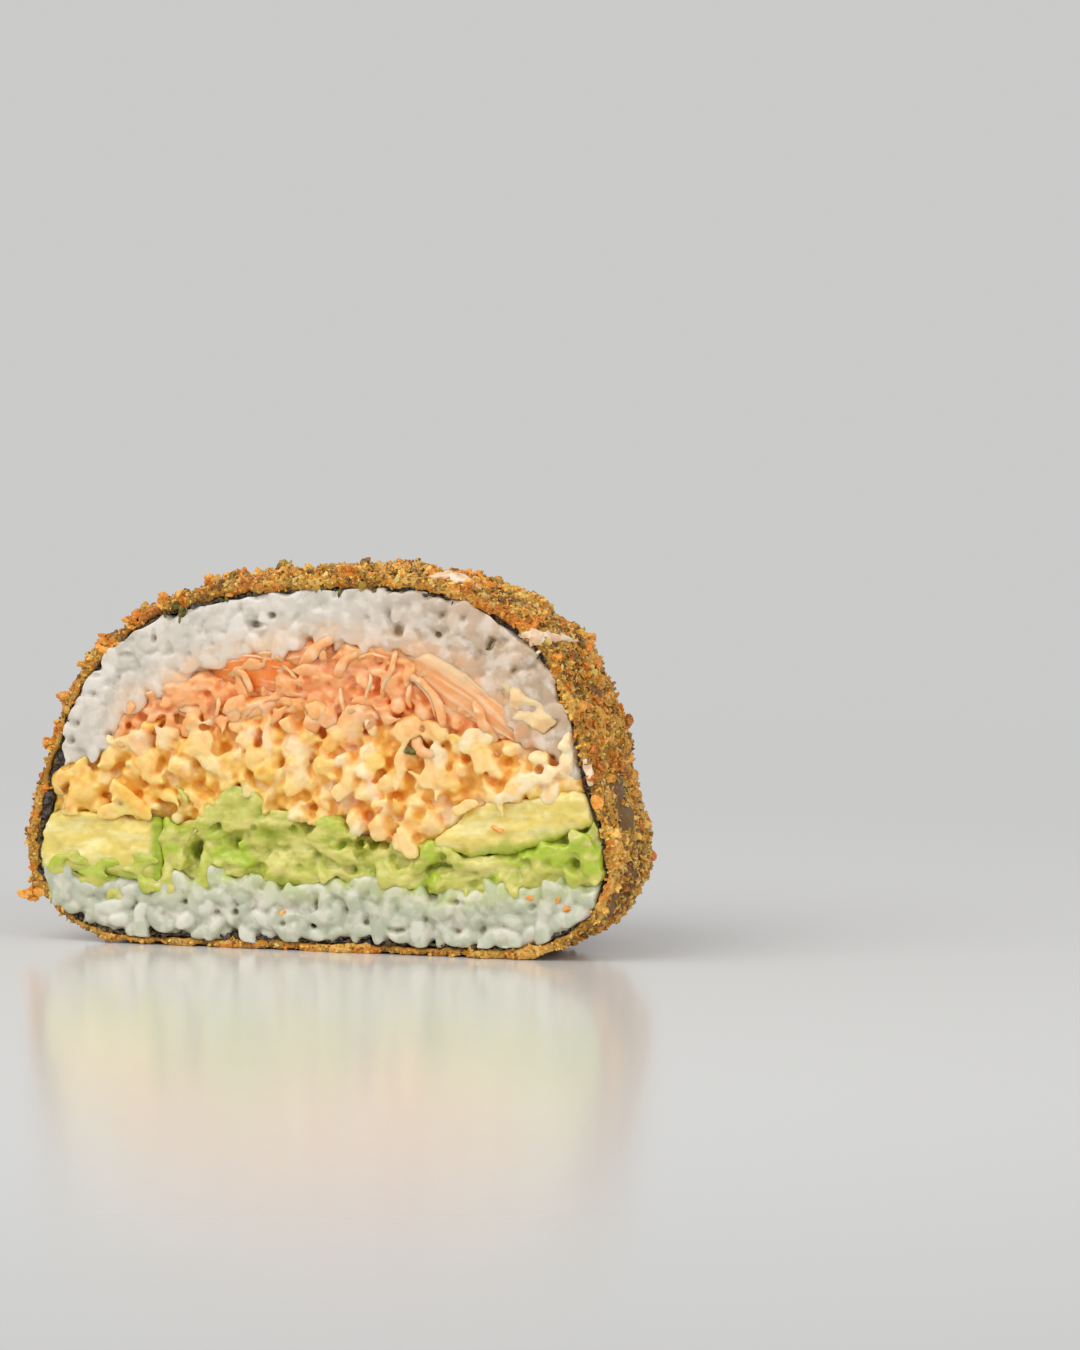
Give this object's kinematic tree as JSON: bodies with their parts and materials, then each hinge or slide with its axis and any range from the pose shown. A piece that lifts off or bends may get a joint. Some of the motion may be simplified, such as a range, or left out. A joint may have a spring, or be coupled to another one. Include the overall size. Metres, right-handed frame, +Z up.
{
  "type": "sushi burger half",
  "caption": "Half of a panko-fried rice burger wrapped in nori, cut flat to show rice, salmon, crab salad and avocado in layers, standing on its flat base.",
  "frame": {"origin": "under the middle of the half, on the surface it stands on", "axes": "+X to the right along the cut face, +Y from the cut face into the food, +Z up"},
  "size_m": [0.1108, 0.0554, 0.0659],
  "materials": {
    "fried_crumb": "rough, deep-fried breadcrumb crust, golden brown with darker and redder crumbs",
    "nori": "dark green-black dried seaweed, softened, slight sheen",
    "rice": "moist, slightly translucent cooked rice",
    "salmon": "soft satin, orange-pink flakes with pale lines",
    "crab": "moist cream lumps with orange edges",
    "avocado": "smooth satin, pale yellow turning lime green at the edge",
    "avocado_mash": "moist, soft, green and cream"
  },
  "bodies": {
    "root": {"panko_coat": "fried_crumb", "nori_wrap": "nori", "rice_top": "rice", "salmon": "salmon", "crab_salad": "crab", "avocado_slice_left": "avocado", "avocado_slice_right": "avocado", "avocado_mash": "avocado_mash", "rice_base": "rice"}
  },
  "joints": []
}
